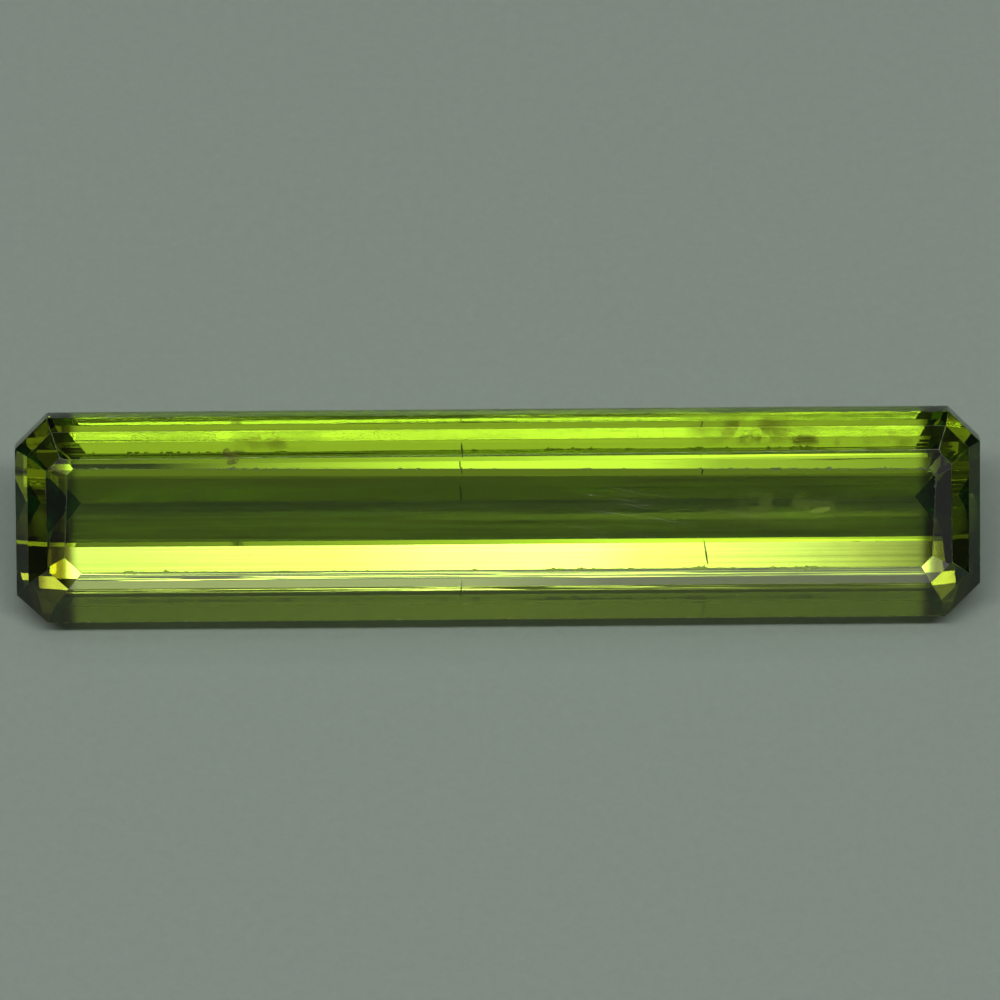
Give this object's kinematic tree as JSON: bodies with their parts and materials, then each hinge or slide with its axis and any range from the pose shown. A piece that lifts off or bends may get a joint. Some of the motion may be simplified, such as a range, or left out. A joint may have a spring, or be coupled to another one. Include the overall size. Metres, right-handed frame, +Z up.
{
  "type": "cut tourmaline gemstone",
  "caption": "Long clipped-corner step-cut clear yellow-green tourmaline, lying on a pavilion facet with its table tipped forward.",
  "frame": {"origin": "middle of the stone's footprint, on the surface that it lies on", "axes": "+X along the stone's length, +Z up; the table faces up and towards -Y"},
  "size_m": [0.018, 0.0034, 0.0036],
  "materials": {
    "crystal": "polished, clear, with fine wear on the facet edges"
  },
  "bodies": {
    "root": {"tourmaline": "crystal"}
  },
  "joints": []
}
